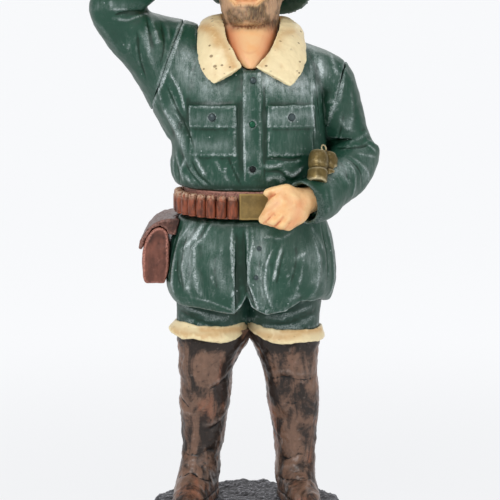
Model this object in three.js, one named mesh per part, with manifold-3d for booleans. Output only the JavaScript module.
import * as THREE from 'three';
import { LoftGeometry } from 'three/addons/geometries/LoftGeometry.js';
import { mergeVertices } from 'three/addons/utils/BufferGeometryUtils.js';
import Module from 'manifold-3d';

const wasm = await Module();
wasm.setup();

// Painted figurine of a hunter, in millimetres: X to the figure's left, Y to its back, Z up from the felt.

// Overall heights, each counted from the one below it
const feltThickness = 2;
const baseThickness = 16;
const bootHeight = 125;
const hemRise = 17;
const skirtHeight = 71;
const torsoHeight = 117;

// Base
const baseWidth = 134;
const baseDepth = 112;
const feltInset = 4;
const figureShift = 3.5;

// Fits between castings, rods and pins
const glueLine = 0.3;
const rodDiameter = 4;
const rodClearance = 0.3;
const rodDepthInBase = 11;
const rodReach = 24;
const pinDiameter = 5;
const pinLength = 18;

// Jacket details
const flapThickness = 1.3;
const pocketThickness = 1.1;
const pocketWidth = 31;
const pocketHeight = 33;
const flapHeight = 14;
const pocketDrop = 52;
const pocketOffset = 26.5;
const placketWidth = 11;
const placketThickness = 0.9;
const hemDrop = 3.5;
const ventWidth = 8;
const ventDepth = 6;
const cuffWall = 2.4;
const cuffHollow = 9;

// Belt
const beltHeight = 17;
const beltThickness = 2.5;
const beltDrop = 3;
const plateWidth = 23;
const plateThickness = 1.6;
const cartridgeCount = 21;
const cartridgeDiameter = 6.8;
const cartridgeLength = 15.5;
const cartridgePitch = 7.5;

// Kit
const bagLength = 44;
const lidThickness = 2.4;
const pocketStudDiameter = 6;
const placketStudDiameter = 5;
const skirtStudDiameter = 3.6;

// Head
const headTilt = THREE.MathUtils.degToRad(12);
const headTurn = THREE.MathUtils.degToRad(-7);
const hatRoll = THREE.MathUtils.degToRad(8);
const headRise = 31;
const bandHeight = 6;
const bandThickness = 1.4;

const waist = bootHeight + hemRise + skirtHeight;
const neckTop = waist + torsoHeight;
const soleLevel = feltThickness + baseThickness;

const paints = {
  felt: { color: '#2f3a33', roughness: 0.95 },
  rock: { color: '#56565a', roughness: 0.85 },
  steel: { color: '#a3a6a8', roughness: 0.35, metalness: 1 },
  jacket: { color: '#46685d', roughness: 0.5 },
  breeches: { color: '#33483f', roughness: 0.6 },
  fleece: { color: '#f0d9a8', roughness: 0.6 },
  skin: { color: '#eab886', roughness: 0.5 },
  boot: { color: '#63503f', roughness: 0.5 },
  leather: { color: '#6a4034', roughness: 0.5 },
  shell: { color: '#82503c', roughness: 0.45 },
  plate: { color: '#7d6640', roughness: 0.5 },
  brass: { color: '#8f7a4c', roughness: 0.4, metalness: 0.4 },
  stud: { color: '#4c5450', roughness: 0.3, metalness: 0.5 },
};

// A closed body with its shared corners merged
function solid(geometry) {
  const loose = geometry.index ? geometry.toNonIndexed() : geometry;
  const bare = new THREE.BufferGeometry().setAttribute('position', loose.getAttribute('position'));
  const merged = mergeVertices(bare, 1e-4);
  const vertProperties = merged.attributes.position.array;
  const triVerts = new Uint32Array(merged.index.array);
  return new wasm.Manifold(new wasm.Mesh({ numProp: 3, vertProperties, triVerts }));
}

// Several bodies joined into one
const join = (...bodies) => bodies.reduce((whole, body) => whole.add(body));

// One body less the others
const cut = (body, ...others) => others.reduce((rest, other) => rest.subtract(other), body);

function geometryOf(body) {
  const { vertProperties, triVerts } = body.getMesh();
  return new THREE.BufferGeometry()
    .setAttribute('position', new THREE.BufferAttribute(new Float32Array(vertProperties), 3))
    .setIndex(new THREE.BufferAttribute(triVerts, 1));
}

function mesh(name, shape, paint) {
  const geometry = shape.isBufferGeometry ? shape : geometryOf(shape);
  geometry.computeVertexNormals();
  const made = new THREE.Mesh(geometry, new THREE.MeshStandardMaterial(paints[paint]));
  made.name = name;
  return made;
}

const angles = (sides) => Array.from({ length: sides }, (_, i) => (i / sides) * 2 * Math.PI);

// The given stops with more stops spread evenly between each two of them
function refine(stops, between) {
  const share = 1 / (between + 1);
  const steps = Array.from({ length: between + 1 }, (_, i) => i * share);
  const inner = stops.slice(0, -1).flatMap((stop, i) => steps.map((s) => stop + s * (stops[i + 1] - stop)));
  return [...inner, stops.at(-1)];
}

// A body made of level sections, each with its own reach to right, left, front and back
class Trunk {
  constructor(sections, options = {}) {
    const { sides = 28, between = 1, corner = 2, splay = 0 } = options;
    const { ripple = () => 0, sag = () => 0 } = options;
    const sorted = [...sections].sort((p, q) => p.h - q.h);
    const rows = sorted.flatMap(({ x = 0, y = 0, right, left = right, front, back }) => [
      x, y, right, left, front, back,
    ]);
    this.stops = sorted.map((section) => section.h);
    this.track = new THREE.CubicInterpolant(this.stops, rows, 6, new Array(6));
    Object.assign(this, { sides, between, corner, splay, ripple, sag });
  }

  point(angle, height, grow = 0) {
    const [x, y, right, left, front, back] = this.track.evaluate(height);
    const rounded = (value) => Math.sign(value) * Math.abs(value) ** (2 / this.corner);
    const extra = grow + this.ripple(angle, height);
    const dx = rounded(Math.cos(angle)) * ((Math.cos(angle) < 0 ? right : left) + extra);
    const dy = rounded(Math.sin(angle)) * ((Math.sin(angle) < 0 ? front : back) + extra);
    return new THREE.Vector3(x + dx + this.splay * dy, y + dy, height - this.sag(angle, height));
  }

  ring(height, grow) {
    return angles(this.sides).map((angle) => this.point(angle, height, grow));
  }

  body(grow = 0) {
    const rings = refine(this.stops, this.between).map((height) => this.ring(height, grow));
    rings[0].forEach((point) => { point.z -= grow; });
    rings.at(-1).forEach((point) => { point.z += grow; });
    return solid(new LoftGeometry(rings, { capStart: true, capEnd: true }));
  }

  // Where the front lies at a place across and a height
  frontAt(across, height) {
    const [x, y, right, left, front] = this.track.evaluate(height);
    const share = Math.min(Math.abs(across - x) / (across < x ? right : left), 1);
    const drop = (1 - share ** this.corner) ** (1 / this.corner);
    return y - drop * (front + this.ripple(-Math.PI / 2, height));
  }

  // The way the front faces there
  frontNormal(across, height) {
    const slopeX = this.frontAt(across + 1, height) - this.frontAt(across - 1, height);
    const slopeZ = this.frontAt(across, height + 1) - this.frontAt(across, height - 1);
    return new THREE.Vector3(slopeX / 2, -1, slopeZ / 2).normalize();
  }
}

// A body made of sections that each run from an inner end to an outer end and have a half depth
class Limb {
  constructor(sections, { sides = 16, between = 0, closed = false } = {}) {
    const rows = sections.flatMap(({ inner, outer, deep }) => [...inner, ...outer, deep]);
    this.last = sections.length - 1;
    this.track = new THREE.CubicInterpolant(sections.map((_, i) => i), rows, 7, new Array(7));
    Object.assign(this, { sides, between, closed });
  }

  section(place) {
    const [ax, ay, az, bx, by, bz, deep] = this.track.evaluate(place);
    const inner = new THREE.Vector3(ax, ay, az);
    const outer = new THREE.Vector3(bx, by, bz);
    return { centre: inner.clone().lerp(outer, 0.5), along: outer.sub(inner).divideScalar(2), deep };
  }

  heading(place) {
    const step = 0.05;
    const before = this.section(Math.max(place - step, 0)).centre;
    return this.section(Math.min(place + step, this.last)).centre.sub(before).normalize();
  }

  ring(place, grow = 0) {
    const { centre, along, deep } = this.section(place);
    const side = this.heading(place).cross(along).setLength(deep + grow);
    const reach = along.clone().setLength(along.length() + grow);
    return angles(this.sides).map((angle) =>
      centre.clone().addScaledVector(reach, Math.cos(angle)).addScaledVector(side, Math.sin(angle)));
  }

  body(grow = 0) {
    const stops = refine(Array.from({ length: this.last + 1 }, (_, i) => i), this.between);
    const rings = stops.map((place) => this.ring(place, grow));
    if (this.closed) return solid(new LoftGeometry([...rings.slice(0, -1), rings[0]]));
    return solid(new LoftGeometry(rings, { capStart: true, capEnd: true }));
  }

  // The hollow of an open cuff at the far end
  mouth(wall, depth) {
    const heading = this.heading(this.last);
    const rim = this.ring(this.last, -wall);
    const shifted = (by) => rim.map((point) => point.clone().addScaledVector(heading, by));
    return solid(new LoftGeometry([shifted(-depth), shifted(1)], { capStart: true, capEnd: true }));
  }
}

// A round-ended bar between two points
function bar(from, to, radius, sides = 6) {
  const start = new THREE.Vector3(...from);
  const reach = new THREE.Vector3(...to).sub(start);
  const up = new THREE.Vector3(0, 1, 0);
  const turn = new THREE.Quaternion().setFromUnitVectors(up, reach.clone().normalize());
  const middle = start.addScaledVector(reach, 0.5);
  return solid(new THREE.CapsuleGeometry(radius, reach.length(), 2, sides)
    .applyQuaternion(turn).translate(...middle));
}

// A ball drawn out along each axis and turned
function ball(centre, reach, turn = [0, 0, 0], sides = 10) {
  return solid(new THREE.SphereGeometry(1, sides, sides / 2)
    .scale(...reach)
    .applyQuaternion(new THREE.Quaternion().setFromEuler(new THREE.Euler(...turn)))
    .translate(...centre));
}

// A slab bent onto the front of a trunk
function frontSlab(trunk, { across, height, wide, tall }, inward, outward, columns = 4, rows = 3) {
  const slab = new THREE.BoxGeometry(wide, 2, tall, columns, 1, rows).translate(across, 0, height);
  const position = slab.getAttribute('position');
  for (let i = 0; i < position.count; i++) {
    const front = trunk.frontAt(position.getX(i), position.getZ(i));
    position.setY(i, front + (position.getY(i) < 0 ? -outward : inward));
  }
  return solid(slab);
}

// An outline in X and Z drawn out along Y from front to back
function alongY(points, front, back) {
  const outline = new THREE.Shape(points.map(([x, z]) => new THREE.Vector2(x, z)));
  return solid(new THREE.ExtrudeGeometry(outline, { depth: back - front, bevelEnabled: false })
    .rotateX(Math.PI / 2).translate(0, back, 0));
}

// Base with the two rod holes, and its felt

const rodPlaces = { right: [-34, 4], left: [30, 4] };

function rockRipple(angle) {
  return 1.5 * Math.sin(5 * angle + 0.7) + 1.1 * Math.sin(8 * angle + 2) + 0.7 * Math.sin(13 * angle);
}

function baseTrunk(inset, bottom, top) {
  const section = (h, less) => ({
    h, right: baseWidth / 2 - less, front: baseDepth / 2 - less, back: baseDepth / 2 - less,
  });
  const rise = top - bottom;
  const sections = [
    section(bottom, inset + 2), section(bottom + 0.3 * rise, inset),
    section(bottom + 0.75 * rise, inset + 1.5), section(top, inset + 5),
  ];
  return new Trunk(sections, { sides: 40, between: 0, ripple: rockRipple });
}

function rod(side, clearance = 0) {
  const [x, y] = rodPlaces[side];
  const bottom = -rodDepthInBase - clearance;
  const top = bootHeight + rodReach + clearance;
  const radius = rodDiameter / 2 + clearance;
  return solid(new THREE.CylinderGeometry(radius, radius, top - bottom, 12)
    .rotateX(Math.PI / 2).translate(x, y, (bottom + top) / 2));
}

function makeBase() {
  const group = new THREE.Group();
  const holes = ['right', 'left']
    .map((side) => rod(side, rodClearance).translate(figureShift, 0, soleLevel));
  const rock = cut(baseTrunk(0, feltThickness, soleLevel).body(), ...holes);
  group.add(mesh('base_rock', rock, 'rock'));
  const pad = baseTrunk(feltInset, 0, feltThickness);
  const outline = pad.ring(feltThickness).map((point) => new THREE.Vector2(point.x, point.y));
  const felt = { depth: feltThickness, bevelEnabled: false };
  group.add(mesh('felt_pad', solid(new THREE.ExtrudeGeometry(new THREE.Shape(outline), felt)), 'felt'));
  return group;
}

// Boots: shares of the height, middle across, half width, and reach to front and back

const rightBootProfile = [
  [0, -38.4, 15.4, 49, 15.5], [0.05, -38, 15.2, 47.5, 15], [0.09, -37.5, 14.6, 39, 14.5],
  [0.15, -36.9, 14.2, 25, 14], [0.23, -35.7, 13.4, 16.5, 14.5], [0.35, -33.6, 14.7, 15.5, 17],
  [0.44, -33.5, 15.6, 16, 19], [0.54, -33.5, 18, 17.5, 20], [0.61, -32, 18, 19, 19.5],
  [0.69, -31.5, 18.2, 20.5, 19], [0.77, -32, 19, 21, 20], [0.87, -28.9, 22.1, 22, 22],
  [0.93, -27.1, 24.1, 22, 22], [1, -27.1, 24.3, 22, 22],
];
const leftBootProfile = [
  [0, 32.8, 14.7, 49, 15.5], [0.05, 32.4, 14.6, 47.5, 15], [0.09, 31.8, 14, 39, 14.5],
  [0.15, 31, 13.8, 25, 14], [0.23, 31.4, 14.1, 16.5, 14.5], [0.35, 31.3, 15.2, 15.5, 17],
  [0.44, 30.8, 16.5, 16, 19], [0.52, 29.7, 17.9, 17.5, 20], [0.61, 29.2, 18.7, 19, 19.5],
  [0.69, 28.5, 19, 20.5, 19], [0.77, 27, 19.6, 21, 20], [0.87, 24.6, 23, 22, 22],
  [0.93, 22.9, 24.9, 22, 22], [1, 23, 25, 22, 22],
];

function bootTrunk(profile, splay) {
  const sections = profile.map(([share, x, right, front, back]) => ({
    h: share * bootHeight, x, y: 4, right, front, back,
  }));
  return new Trunk(sections, { sides: 18, between: 0, corner: 2.2, splay });
}

// Breeches: height over the boots, middle across, half width

const rightLegProfile = [
  [0, -28.5, 21.5, 21], [3, -28.3, 24.4, 24], [10, -27.5, 26, 25], [24, -26, 27, 27], [46, -25, 27, 27],
];
const leftLegProfile = [
  [0, 23.6, 22, 21], [3, 23.6, 24.9, 24], [10, 24, 25.6, 25], [24, 24, 27, 27], [46, 24, 27, 27],
];

function breechLeg(profile) {
  const sections = profile.map(([rise, x, right, deep]) => ({
    h: bootHeight + glueLine + rise, x, y: 3, right, front: deep, back: deep,
  }));
  return new Trunk(sections, { sides: 18, between: 0 });
}

const rightBoot = bootTrunk(rightBootProfile, 0.16);
const leftBoot = bootTrunk(leftBootProfile, -0.16);
const rightLeg = breechLeg(rightLegProfile);
const leftLeg = breechLeg(leftLegProfile);
const breeches = (grow = 0) => join(rightLeg.body(grow), leftLeg.body(grow));

// Turned-down tops of the boots: they flare to the lower edge, which hangs low in front

const cuffRise = 4;
const cuffDrop = 3.5;

function cuffTrunk({ x, top, right, left, phase, dip }) {
  const level = (rise, flare, deep) => ({
    h: bootHeight + rise, x, y: 3.5, front: deep, back: deep,
    right: THREE.MathUtils.lerp(top, right, flare), left: THREE.MathUtils.lerp(top, left, flare),
  });
  const sections = [
    level(-cuffDrop, 0.85, 28.5), level(-cuffDrop + 1.2, 1, 29.5),
    level(0, 0.6, 27.8), level(cuffRise, 0, 25.5),
  ];
  const hang = (height) => (bootHeight + cuffRise - height) / (cuffRise + cuffDrop);
  const edge = (angle) => {
    const toFront = Math.max(-Math.sin(angle), 0);
    const toBack = Math.max(Math.sin(angle), 0);
    const toLeft = Math.max(Math.cos(angle), 0);
    return 6.5 * toFront ** 1.5 + 2.5 * toBack + dip * toLeft ** 2 + 1.2 * Math.sin(3 * angle + phase);
  };
  return new Trunk(sections, {
    sides: 24, between: 0,
    ripple: (angle, height) => 0.8 * hang(height) * Math.sin(4 * angle + phase),
    sag: (angle, height) => hang(height) * edge(angle),
  });
}

const cuffs = {
  right: cuffTrunk({ x: -28.6, top: 25.2, right: 29.8, left: 25.8, phase: 2.4, dip: 0 }),
  left: cuffTrunk({ x: 24, top: 26, right: 26, left: 28.6, phase: 0.4, dip: 4.5 }),
};

function makeLegs() {
  const group = new THREE.Group();
  const sides = { right: [rightBoot, cuffs.right], left: [leftBoot, cuffs.left] };
  const bands = Object.values(sides)
    .map(([boot, cuff]) => cut(cuff.body(), boot.body(glueLine), breeches(glueLine)));
  bands[1] = cut(bands[1], sides.right[1].body(glueLine), rightBoot.body(glueLine));
  bands[0] = cut(bands[0], leftBoot.body(glueLine));
  Object.entries(sides).forEach(([side, [boot]], i) => {
    group.add(mesh(`${side}_leg_rod`, rod(side), 'steel'));
    const other = side === 'right' ? [] : [rightBoot.body(glueLine)];
    group.add(mesh(`${side}_boot`, cut(boot.body(), rod(side, rodClearance), ...other), 'boot'));
    group.add(mesh(`${side}_boot_cuff`, bands[i], 'fleece'));
  });
  const holes = Object.keys(sides).map((side) => rod(side, rodClearance));
  group.add(mesh('breeches', cut(breeches(), ...holes), 'breeches'));
  return group;
}

// Jacket: sections of the skirt by share of its height below the waist, of the torso by share above it

const grooveHalf = beltHeight / 2 + 0.6;
const groove = { right: 44, left: 45, front: 36.5, back: 32.5 };
const skirtProfile = [
  [1, 54, 54.5, 41, 40], [0.94, 58.5, 57.5, 44.5, 43], [0.82, 60.5, 59, 46, 44], [0.66, 58.5, 59.5, 45.5, 43],
  [0.45, 56.5, 58, 44, 41],
];
const torsoProfile = [
  [0.19, 56, 55, 43.5, 38], [0.31, 55, 53, 43, 38.5], [0.46, 54, 51.5, 42, 39],
  [0.62, 55, 51, 41, 39], [0.75, 55, 50, 38, 37], [0.86, 53, 44, 33, 34], [0.94, 47, 33, 26, 29],
  [1, 36, 22, 18, 22],
];

function skirtFold(angle, height) {
  const flare = THREE.MathUtils.smoothstep(waist - height, 0.25 * skirtHeight, skirtHeight);
  return 1.3 * flare * Math.sin(7 * angle + 0.6);
}

// The belt and the waist under it sit lower in front
const sloped = (angle) => beltDrop * Math.max(-Math.sin(angle), 0);

function jacketSag(angle, height) {
  const low = THREE.MathUtils.smoothstep(waist - height, 0.4 * skirtHeight, skirtHeight);
  const nearBelt = 1 - THREE.MathUtils.smoothstep(Math.abs(height - waist), beltHeight, 2 * beltHeight);
  return hemDrop * low * Math.max(-Math.sin(angle), 0) ** 2 + nearBelt * sloped(angle);
}

function jacketTrunk() {
  const level = (h, [right, left, front, back]) => ({ h, right, left, front, back });
  const sections = [
    ...skirtProfile.map(([share, ...reach]) => level(waist - share * skirtHeight, reach)),
    { h: waist - grooveHalf - 2, right: 50.5, left: 52, front: 41, back: 37 },
    { h: waist - grooveHalf, ...groove },
    { h: waist + grooveHalf, ...groove },
    { h: waist + grooveHalf + 2.5, right: 53, left: 52.5, front: 40.5, back: 36 },
    ...torsoProfile.map(([share, ...reach]) => level(waist + share * torsoHeight, reach)),
  ];
  return new Trunk(sections, { sides: 32, between: 0, corner: 2.25, ripple: skirtFold, sag: jacketSag });
}

const jacket = jacketTrunk();

// Sleeves: heights are shares of the torso above the waist

const share = (value) => waist + value * torsoHeight;
const sleeveSection = ([ax, ay, az, bx, by, bz, deep]) => ({
  inner: [ax, ay, share(az)], outer: [bx, by, share(bz)], deep,
});

const rightSleeve = new Limb([
  [-36, 0, 1.04, -44, 0, 0.28, 30], [-52, 0, 1.075, -57, 0, 0.36, 28], [-62, -2, 1.09, -65, -2, 0.48, 26],
  [-67, -5, 1.1, -72, -5, 0.61, 24], [-69, -8, 1.11, -85, -9, 0.77, 21], [-70, -10, 1.12, -96, -12, 0.87, 19],
  [-70, -12, 1.13, -106, -15, 0.98, 18], [-70, -14, 1.14, -110.5, -18, 1.07, 17.5],
  [-69, -16, 1.145, -110.5, -20, 1.14, 17.5], [-66, -19, 1.155, -106, -23, 1.22, 17],
  [-60, -24, 1.185, -96, -27, 1.32, 16.5], [-52, -29, 1.23, -78, -32, 1.42, 16],
  [-42, -34, 1.28, -60, -37, 1.5, 15.5],
].map(sleeveSection));

const leftSleeve = new Limb([
  [14, 2, 0.8, 34, 2, 0.93, 18], [28, 2, 0.75, 53, 2, 0.885, 21], [36, 2, 0.68, 66, 3, 0.815, 22.5],
  [42, 3, 0.6, 72, 4, 0.745, 22.5], [41, 4, 0.52, 76, 6, 0.61, 22], [44, 4, 0.43, 81, 8, 0.44, 20.5],
  [48, 4, 0.355, 85.5, 10, 0.335, 19], [56, 1, 0.31, 89.3, 11, 0.255, 18], [57, -6, 0.295, 87.5, 8, 0.18, 17],
  [56, -14, 0.285, 81, 0, 0.085, 16.5], [52, -25, 0.255, 69.5, -14, 0, 15.5],
  [45, -36, 0.2, 57, -31, -0.065, 15], [37, -45, 0.14, 50, -43, -0.1, 14.5],
  [29.7, -53, 0.134, 41, -53, -0.115, 14],
].map(sleeveSection));

// Armhole seams: where each crosses the shoulder line, how it leans and how far down it runs
const armholes = {
  right: { across: -43.4, top: share(1.12), tall: 1.5 * torsoHeight, lean: 0.345, way: 1 },
  left: { across: 70.6, top: share(1), tall: 0.58 * torsoHeight, lean: 0.256, way: -1 },
};

// The room on the body's side of an armhole seam
function armholeBlock(side, grow = 0) {
  const { across, top, tall, lean, way } = armholes[side];
  const deep = 2 * torsoHeight;
  return solid(new THREE.BoxGeometry(torsoHeight, deep, tall + grow)
    .translate(way * (torsoHeight / 2 - grow), 0, -(tall + grow) / 2)
    .rotateY(lean).translate(across, 0, top));
}

// Pins across the armholes
const pinPlaces = { right: [-56, -2, share(0.86)], left: [60, 3, share(0.7)] };

function armPin(side, clearance = 0) {
  const radius = pinDiameter / 2 + clearance;
  return solid(new THREE.CylinderGeometry(radius, radius, pinLength + 2 * clearance, 12)
    .rotateZ(Math.PI / 2).translate(...pinPlaces[side]));
}

// Pockets with flaps, and the front placket

const pocketPlace = (side) => ({
  across: side * pocketOffset + 0.5, height: neckTop - pocketDrop - pocketHeight / 2,
  wide: pocketWidth, tall: pocketHeight,
});

function pocket(side) {
  const bag = pocketPlace(side);
  const flapMiddle = bag.height + (pocketHeight - flapHeight) / 2;
  const flap = { ...bag, height: flapMiddle, wide: pocketWidth + 1.2, tall: flapHeight };
  const bulge = pocketThickness + flapThickness;
  return join(frontSlab(jacket, bag, 3, pocketThickness), frontSlab(jacket, flap, 3, bulge, 4, 2));
}

function placket() {
  const bottom = waist + grooveHalf + 2;
  const top = neckTop - 30;
  const strip = { across: 1, height: (bottom + top) / 2, wide: placketWidth, tall: top - bottom };
  return frontSlab(jacket, strip, 3, placketThickness, 2, 8);
}

// The open vent below the belt, flared towards the hem
function vent() {
  const top = waist - grooveHalf - 1;
  const bottom = waist - skirtHeight - 12;
  const left = -11;
  const right = left + ventWidth;
  const outline = [[left, bottom], [right + 10, bottom], [right, bottom + 30], [right, top], [left, top]];
  const front = jacket.frontAt((left + right) / 2, waist - 0.8 * skirtHeight);
  return alongY(outline, front - 20, front + ventDepth);
}

// Studs: across, height over the waist, diameter

const pocketStudHeight = torsoHeight - pocketDrop - 0.55 * flapHeight;
const studPlaces = {
  right_pocket_stud: [-pocketOffset + 0.5, pocketStudHeight, pocketStudDiameter],
  left_pocket_stud: [pocketOffset + 0.5, pocketStudHeight, pocketStudDiameter],
  placket_stud_1: [1.4, 0.7 * torsoHeight, placketStudDiameter],
  placket_stud_2: [0.8, 0.45 * torsoHeight, placketStudDiameter],
  placket_stud_3: [1, 0.21 * torsoHeight, placketStudDiameter],
  skirt_stud_1: [5.4, -0.42 * skirtHeight, skirtStudDiameter],
  skirt_stud_2: [3.4, -0.68 * skirtHeight, skirtStudDiameter],
};
const studShank = 3.5;

function studSeat(name) {
  const [across, rise] = studPlaces[name];
  const height = waist + rise;
  const raised = name.includes('pocket') ? pocketThickness + flapThickness : placketThickness;
  const lift = name.includes('skirt') ? 0 : raised;
  const normal = jacket.frontNormal(across, height);
  const front = jacket.frontAt(across, height) - lift;
  const drop = jacket.sag(-Math.PI / 2, height);
  return { place: new THREE.Vector3(across, front, height - drop).addScaledVector(normal, glueLine), normal };
}

const facing = (normal) => new THREE.Quaternion().setFromUnitVectors(new THREE.Vector3(0, 1, 0), normal);

function studHole(name) {
  const { place, normal } = studSeat(name);
  const radius = 0.25 * studPlaces[name][2] + glueLine;
  const depth = studShank + 2 * glueLine;
  return solid(new THREE.CylinderGeometry(radius, radius, 2 * depth, 10)
    .applyQuaternion(facing(normal)).translate(...place));
}

function stud(name) {
  const { place, normal } = studSeat(name);
  const radius = studPlaces[name][2] / 2;
  const profile = [
    [0, -studShank], [0.5 * radius, -studShank], [0.5 * radius, 0], [radius, 0],
    [0.8 * radius, 0.55 * radius], [0, 0.8 * radius],
  ].map(([r, y]) => new THREE.Vector2(r, y));
  const made = mesh(name, new THREE.LatheGeometry(profile, 10), 'stud');
  made.position.copy(place);
  made.quaternion.copy(facing(normal));
  return made;
}

// Neck and head

function neckTrunk() {
  const sections = [
    { h: neckTop - 27.5, y: -26, right: 4, front: 15.5, back: 20 },
    { h: neckTop - 22, y: -20, right: 11, front: 21, back: 20 },
    { h: neckTop - 12, y: -10, right: 18.5, front: 24.5, back: 20 },
    { h: neckTop + 2, y: -3, right: 19.5, front: 21, back: 20 },
    { h: neckTop + 20, y: 0, right: 17.5, front: 19, back: 20 },
  ];
  return new Trunk(sections, { sides: 24, between: 0, corner: 2.8 });
}

const headPlace = new THREE.Matrix4()
  .makeRotationFromEuler(new THREE.Euler(-headTilt, 0, headTurn, 'ZXY'))
  .setPosition(0, -4, neckTop + headRise);

const skull = new Trunk([
  { h: -33, y: -13, right: 9, front: 8, back: 11 }, { h: -29.5, y: -9, right: 14.5, front: 15.5, back: 16 },
  { h: -22, y: -4, right: 18.5, front: 21.5, back: 21 }, { h: -11, right: 21.5, front: 26, back: 24 },
  { h: 1, right: 23, front: 26.5, back: 27 }, { h: 13, right: 23, front: 26, back: 29 },
  { h: 23, right: 20, front: 22, back: 25.5 }, { h: 30, right: 13.5, front: 15, back: 18 },
  { h: 33.5, right: 5, front: 6, back: 8 },
], { sides: 22, between: 0 });

const nose = new Trunk([
  { h: -11, y: -24.5, right: 4, front: 3.5, back: 4 }, { h: -8.5, y: -24.5, right: 5.4, front: 8, back: 4 },
  { h: -3, y: -24, right: 3.6, front: 6.6, back: 4 }, { h: 5, y: -24, right: 2.6, front: 4, back: 4 },
  { h: 8, y: -24, right: 2.4, front: 2.6, back: 3 },
], { sides: 12, between: 0 });

const inHead = (body) => body.transform(headPlace.elements);

function head(grow = 0) {
  const earReach = [2.6, 6, 9.5].map((reach) => reach + grow);
  const ears = [-1, 1].map((side) => ball([side * 22.6, 3, -2], earReach, [0.15, 0, side * 0.3], 10));
  return join(neckTrunk().body(grow), inHead(join(skull.body(grow), nose.body(grow), ...ears)));
}

// Hat, worn askew: crown, and a brim that droops to the back

const hatPlace = headPlace.clone().multiply(new THREE.Matrix4().makeRotationY(hatRoll));
const inHat = (body) => body.transform(hatPlace.elements);
const brimLevel = 13;

const crownSections = [
  { h: brimLevel - 2, y: 1, right: 26.5, front: 29, back: 31 },
  { h: brimLevel + 4, y: 1, right: 26, front: 28.5, back: 30.5 },
  { h: brimLevel + 16, y: 1.5, right: 24, front: 26.5, back: 28 },
  { h: brimLevel + 24, y: 2, right: 19, front: 22, back: 23 },
  { h: brimLevel + 27.5, y: 2, right: 10, front: 12, back: 13 },
];
const crown = new Trunk(crownSections, { sides: 24, between: 0 });

function brim() {
  const around = 24;
  const sections = Array.from({ length: around + 1 }, (_, i) => {
    const angle = (i / around) * 2 * Math.PI;
    const [c, s] = [Math.cos(angle), Math.sin(angle)];
    const droop = 9 + (s < 0 ? 8 : 15) * s + 2 * Math.abs(c);
    return {
      inner: [22 * c, 1 + 24 * s, brimLevel + 0.5],
      outer: [43 * c, 1 + (s < 0 ? 50 : 44) * s, brimLevel - droop],
      deep: 1.9,
    };
  });
  return new Limb(sections, { sides: 6, closed: true });
}

function band(grow, outward) {
  const sections = [0.5, bandHeight + 0.5].map((rise) => {
    const h = brimLevel + 3 + rise;
    const [x, y, ...reach] = crown.track.evaluate(h);
    const [right, left, front, back] = reach.map((value) => value + outward);
    return { h, x, y, right, left, front, back };
  });
  return new Trunk(sections, { sides: 24, between: 0 }).body(grow);
}

const hat = () => cut(inHat(join(crown.body(), brim().body())), head(glueLine));

// Collar: drops are counted from the top of the jacket

const collar = new Limb([
  [-5, -43, -26, -25, -42, -38, 2.6], [-10, -39, -17, -34, -36, -30, 3], [-15, -33, -8, -37.5, -26, -12, 3.2],
  [-18, -20, 3, -36, -10, 3, 3.4], [-20, -3, 9, -34, 5, 4, 3.4], [-16, 15, 11, -26, 26, 0, 3.4],
  [0, 22, 11, 0, 36, -2, 3.4], [16, 15, 10, 27, 26, -3, 3.4], [20, -3, 8, 35, 5, -1, 3.4],
  [19, -20, 2, 37, -10, -4, 3.4], [15, -33, -9, 38, -26, -18, 3.2], [10, -39, -18, 35, -36, -31, 3],
  [2, -43, -26, 27, -42.5, -39.5, 2.6],
].map(([ax, ay, az, bx, by, bz, deep]) => ({
  inner: [ax, ay, neckTop + az], outer: [bx, by, neckTop + bz], deep,
})), { sides: 8, between: 1 });

// Hands

function rightHand(grow = 0) {
  const [x, y, z] = [-46, -35, share(1.38)];
  const fingers = [0, 1, 2, 3].map((i) => {
    const back = 6.2 - 3.6 * i;
    const tip = [x + 38 - Math.abs(i - 1.4) * 2.2, y - 16 + 0.6 * back, z + 7 + 0.55 * back];
    return bar([x + 21, y - 8 + 0.8 * back, z + 5 + 0.7 * back], tip, 2.9 + grow);
  });
  const palm = ball([x + 16, y - 6, z + 4], [13 + grow, 6 + grow, 9 + grow], [0.5, -0.25, -0.4]);
  const thumb = bar([x + 12, y - 10, z - 2], [x + 26, y - 16, z - 3], 3 + grow);
  const wrist = bar([x - 12, y + 3, z - 5], [x + 10, y - 4, z + 2.5], 7 + grow, 12);
  return join(palm, wrist, thumb, ...fingers);
}

// The fist on the belt: each finger from its knuckle to its middle joint and back to the palm
function leftHand(grow = 0) {
  const at = ([dx, dy, dz]) => [20.8 + dx, -51 + dy, waist - 0.8 + dz];
  const fingers = [
    [[-3, -8, 5.5], [-12.5, -8, -8.5]], [[1, -9.5, 3.5], [-7.5, -9, -10]],
    [[6, -9, 0.5], [-1.5, -8, -12]], [[10.5, -7, -3], [4, -6.5, -13.2]],
  ].flatMap(([[x, y, z], [u, v, w]]) => [
    bar(at([x, y, z]), at([u, v, w]), 4.5 + grow), bar(at([u, v, w]), at([u + 5, v + 8, w + 3]), 4 + grow),
  ]);
  const back = ball(at([3.5, -2, 2]), [14.5 + grow, 10 + grow, 12.5 + grow], [0, 0.5, 0]);
  const palm = ball(at([-2, -3, -4]), [11 + grow, 10.5 + grow, 11 + grow], [0, 0.5, 0]);
  const heel = ball(at([9, -2, -5]), [10 + grow, 9 + grow, 9 + grow]);
  const thumb = bar(at([3, -6, 12]), at([-10, -5, 8.8]), 4 + grow);
  const wrist = bar(at([8, -1, 1]), at([24, 6, 5]), 9 + grow, 12);
  return join(back, palm, heel, wrist, thumb, ...fingers);
}

// Belt, its plate and the cartridges

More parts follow.
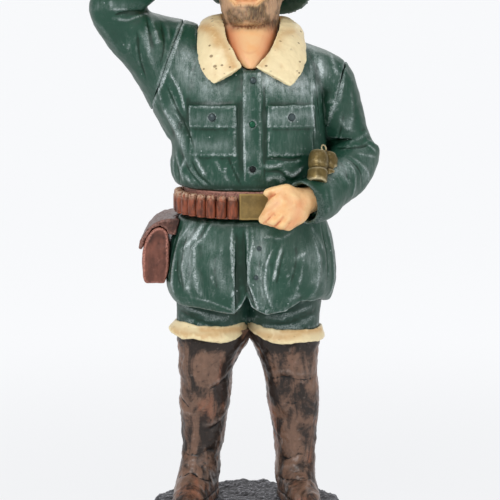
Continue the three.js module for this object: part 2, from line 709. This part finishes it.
function beltTrunk(outward) {
  const sections = [-beltHeight / 2, beltHeight / 2].map((rise) => ({
    h: waist + rise, right: groove.right + outward, left: groove.left + outward,
    front: groove.front + outward, back: groove.back + outward,
  }));
  return new Trunk(sections, { sides: 36, between: 0, corner: 2.25, sag: sloped });
}

const strap = beltTrunk(glueLine + beltThickness);
const plateSpot = { across: 3.5, height: waist - beltDrop, wide: plateWidth, tall: beltHeight + 0.6 };
const plate = (grow = 0) => frontSlab(strap, {
  ...plateSpot, wide: plateWidth + 2 * grow, tall: beltHeight + 2 * grow,
}, -glueLine + grow, glueLine + plateThickness + grow, 5, 1);

// Places along the belt, by the way walked from the plate round the right hip to the back
function cartridgePlaces() {
  const radius = cartridgeDiameter / 2;
  const steps = 720;
  const places = [];
  let walked = 0;
  let previous = null;
  for (let i = 0; i < steps && places.length < cartridgeCount; i++) {
    const angle = -Math.PI / 2 - (i / steps) * 2 * Math.PI;
    const here = strap.point(angle, waist, glueLine + radius);
    const clear = here.x < plateSpot.across - plateWidth / 2 - 0.6 * cartridgePitch || places.length > 0;
    if (clear) {
      walked += previous ? here.distanceTo(previous) : cartridgePitch;
      previous = here;
    }
    if (clear && walked >= cartridgePitch) {
      places.push(here);
      walked -= cartridgePitch;
    }
  }
  return places;
}

function cartridgeGeometry() {
  const radius = cartridgeDiameter / 2;
  const half = cartridgeLength / 2;
  const profile = [
    [0, -half], [0.8 * radius, -half], [radius, -half + 1], [radius, half - 2],
    [0.65 * radius, half], [0, half],
  ].map(([r, y]) => new THREE.Vector2(r, y));
  return new THREE.LatheGeometry(profile, 8).rotateX(Math.PI / 2);
}

function makeBelt() {
  const group = new THREE.Group();
  group.add(mesh('cartridge_belt', cut(strap.body(), jacket.body(glueLine)), 'leather'));
  group.add(mesh('belt_plate', plate(), 'plate'));
  cartridgePlaces().forEach((place, i) => {
    const shell = mesh(`cartridge_${String(i + 1).padStart(2, '0')}`, cartridgeGeometry(), 'shell');
    shell.position.copy(place);
    group.add(shell);
  });
  return group;
}

// Game bag on the right hip: outline of its gusset, seen from the front, from its lower inner corner

const bagCorner = [-54, waist - 58];
const bagOutline = [
  [-6, 0], [-3, 10], [-2.5, 32], [-5, 38], [-9, 40], [-14, 38], [-18.5, 32], [-21, 25], [-21.5, 3], [-19, 0],
];
const lidOutline = [[6, 20], [6, 43], [-3, 43], [-9, 41.5], [-15, 38], [-19, 32], [-21.5, 26], [-22, 3]];
const bagFront = -14;
const bagSlope = 0.08;

// An outline drawn out from the front of the bag to its back, with its top rising to the back
function bagShape(outline, grow, front, back) {
  const [x, z] = bagCorner;
  const middle = [-10.5, 20];
  const points = outline.map(([dx, dz]) => {
    const away = new THREE.Vector2(dx - middle[0], dz - middle[1]);
    away.setLength(away.length() + grow);
    return [x + middle[0] + away.x, z + middle[1] + away.y];
  });
  return alongY(points, front, back).warp((point) => {
    const high = THREE.MathUtils.clamp((point[2] - z) / bagLength, 0, 1);
    point[2] += bagSlope * high * (point[1] - bagFront);
  });
}

function bagLid() {
  const [x, z] = bagCorner;
  const edge = 2;
  const shell = cut(
    bagShape(lidOutline, glueLine + lidThickness, bagFront - 0.5 * edge, bagFront + bagLength + edge),
    bagShape(bagOutline, glueLine, bagFront - 2 * edge, bagFront + bagLength + 2 * edge),
  );
  const edgeLine = [[40, -40], [40, 34], [-6, 34], [-16, 24], [-40, 24], [-40, -40]];
  const below = edgeLine.map(([dx, dz]) => [x + dx, z + dz]);
  return cut(shell, alongY(below, bagFront - bagLength, bagFront + 2 * bagLength));
}

// Brass field glasses in the crook of the left arm

function fieldGlasses() {
  const profile = [
    [0, 0], [6.2, 0], [7, 1], [7, 8.5], [6, 9.5], [6, 11], [7.2, 12.5], [7.2, 19.5], [5.6, 22.5], [0, 23],
  ].map(([r, y]) => new THREE.Vector2(r, y));
  const turned = () => new THREE.LatheGeometry(profile, 12).rotateX(Math.PI / 2);
  const barrel = (...place) => solid(turned().translate(...place));
  const bridge = solid(new THREE.BoxGeometry(11, 6, 9).translate(0, 1, 16));
  const bead = ball([-1.5, 0, 23.5], [2.2, 2.2, 2.2]);
  const loop = new THREE.TorusGeometry(2.3, 0.8, 6, 10).rotateX(Math.PI / 2).translate(-1.5, 0, 27.4);
  const pair = join(barrel(-6, 0, 0), barrel(5.5, 3, 4), bridge, bead, solid(loop));
  const lean = new THREE.Matrix4()
    .makeRotationFromEuler(new THREE.Euler(-0.5, 0.06, 0.75))
    .setPosition(48.3, -48, share(0.103));
  return pair.transform(lean.elements);
}

// Castings of the jacket, arms and kit, each cut clear of its neighbours

function makeJacket() {
  const group = new THREE.Group();
  const shoulders = [
    rightSleeve.body().intersect(armholeBlock('right')), leftSleeve.body().intersect(armholeBlock('left')),
  ];
  const reliefs = [pocket(-1), pocket(1), placket()];
  const studNames = Object.keys(studPlaces);
  const sockets = [
    vent(), breeches(glueLine), head(glueLine), armPin('right', glueLine), armPin('left', glueLine),
    ...studNames.map(studHole),
  ];
  const body = cut(join(jacket.body(), ...shoulders, ...reliefs), ...sockets);
  group.add(mesh('jacket_body', body, 'jacket'));
  const under = [jacket, rightSleeve, leftSleeve].map((shape) => shape.body(glueLine));
  group.add(mesh('collar', cut(collar.body(), ...under, head(glueLine)), 'fleece'));
  studNames.forEach((name) => group.add(stud(name)));
  return group;
}

function makeArms() {
  const group = new THREE.Group();
  const rightArm = cut(
    rightSleeve.body(), armholeBlock('right', glueLine), jacket.body(glueLine),
    rightSleeve.mouth(cuffWall, cuffHollow), rightHand(glueLine), armPin('right', glueLine),
  );
  const leftArm = cut(
    leftSleeve.body(), armholeBlock('left', glueLine), jacket.body(glueLine),
    leftSleeve.mouth(cuffWall, cuffHollow), leftHand(glueLine), armPin('left', glueLine),
    strap.body(glueLine),
  );
  group.add(mesh('right_sleeve', rightArm, 'jacket'));
  group.add(mesh('left_sleeve', leftArm, 'jacket'));
  group.add(mesh('right_hand', cut(rightHand(), inHat(brim().body(glueLine))), 'skin'));
  const fist = cut(leftHand(), jacket.body(glueLine), strap.body(glueLine), plate(glueLine));
  group.add(mesh('left_hand', fist, 'skin'));
  ['right', 'left'].forEach((side) => group.add(mesh(`${side}_arm_pin`, armPin(side), 'steel')));
  return group;
}

function makeHead() {
  const group = new THREE.Group();
  group.add(mesh('head', head(), 'skin'));
  group.add(mesh('hat', hat(), 'jacket'));
  const ribbon = cut(band(0, bandThickness + glueLine), crown.body(glueLine), brim().body(glueLine));
  group.add(mesh('hat_band', inHat(ribbon), 'leather'));
  return group;
}

function makeKit() {
  const group = new THREE.Group();
  const satchel = bagShape(bagOutline, 0, bagFront, bagFront + bagLength);
  group.add(mesh('bag_body', cut(satchel, jacket.body(glueLine)), 'leather'));
  group.add(mesh('bag_lid', cut(bagLid(), jacket.body(glueLine)), 'leather'));
  const glasses = cut(fieldGlasses(), leftSleeve.body(glueLine), jacket.body(glueLine));
  group.add(mesh('field_glasses', glasses, 'brass'));
  return group;
}

const figure = new THREE.Group();
figure.position.set(figureShift, 0, soleLevel);
figure.add(makeLegs(), makeJacket(), makeArms(), makeHead(), makeBelt(), makeKit());

const part = new THREE.Group();
part.add(makeBase(), figure);

export default part;
